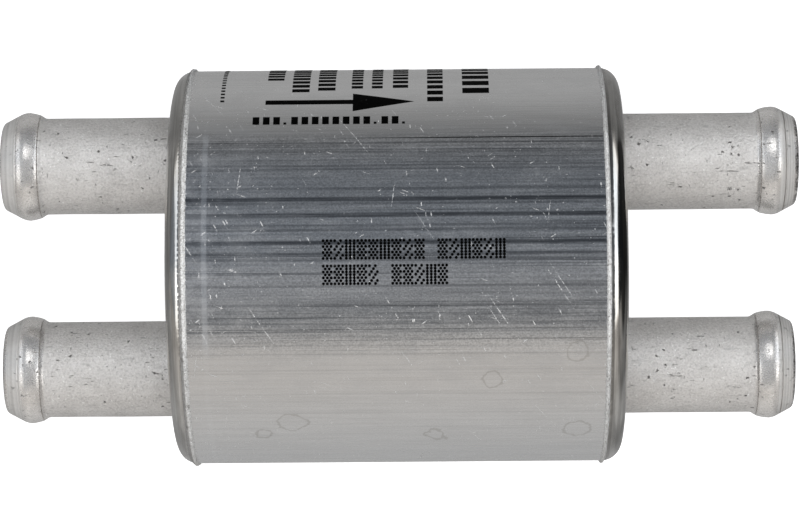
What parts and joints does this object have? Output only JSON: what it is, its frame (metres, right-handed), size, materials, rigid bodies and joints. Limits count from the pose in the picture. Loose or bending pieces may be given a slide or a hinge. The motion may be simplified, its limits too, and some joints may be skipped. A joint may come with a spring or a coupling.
{
  "type": "inline fuel filter",
  "caption": "Inline gas-phase fuel filter: rolled aluminium can with paired beaded hose nipples at each end and a sealed pleated glass-fibre element inside.",
  "frame": {"origin": "centre of the can, on its axis, midway between the nipple ends", "axes": "+X along the can from the inlet end to the outlet end; the nipples of each end lie side by side along Y; +Z square to the plane of the nipples"},
  "size_m": [0.1, 0.0506, 0.0506],
  "materials": {
    "shell_aluminium": "drawn, fine streaks along the can, satin",
    "plate_aluminium": "turned, fine rings, satin",
    "nipple_aluminium": "tumbled, fine matte grain with small pits",
    "braze_metal": "as flowed, slightly uneven",
    "seal_rubber": "matte",
    "glass_fibre": "matted fibre",
    "core_plastic": "moulded",
    "net_plastic": "extruded",
    "cap_plastic": "moulded",
    "potting_adhesive": "poured, slightly glossy",
    "spring_steel": "drawn wire",
    "printing_ink": "thin printed ink, slightly worn"
  },
  "bodies": {
    "root": {"body_tube": "shell_aluminium", "inlet_end_plate": "plate_aluminium", "outlet_end_plate": "plate_aluminium", "inlet_nipple_left": "nipple_aluminium", "inlet_nipple_right": "nipple_aluminium", "outlet_nipple_left": "nipple_aluminium", "outlet_nipple_right": "nipple_aluminium", "inlet_braze_rings": "braze_metal", "outlet_braze_rings": "braze_metal", "inlet_o_ring": "seal_rubber", "outlet_o_ring": "seal_rubber", "pleated_media": "glass_fibre", "media_core": "core_plastic", "media_net": "net_plastic", "closed_end_cap": "cap_plastic", "open_end_cap": "cap_plastic", "closed_end_potting": "potting_adhesive", "open_end_potting": "potting_adhesive", "element_gasket": "seal_rubber", "element_spring": "spring_steel"}
  },
  "joints": []
}
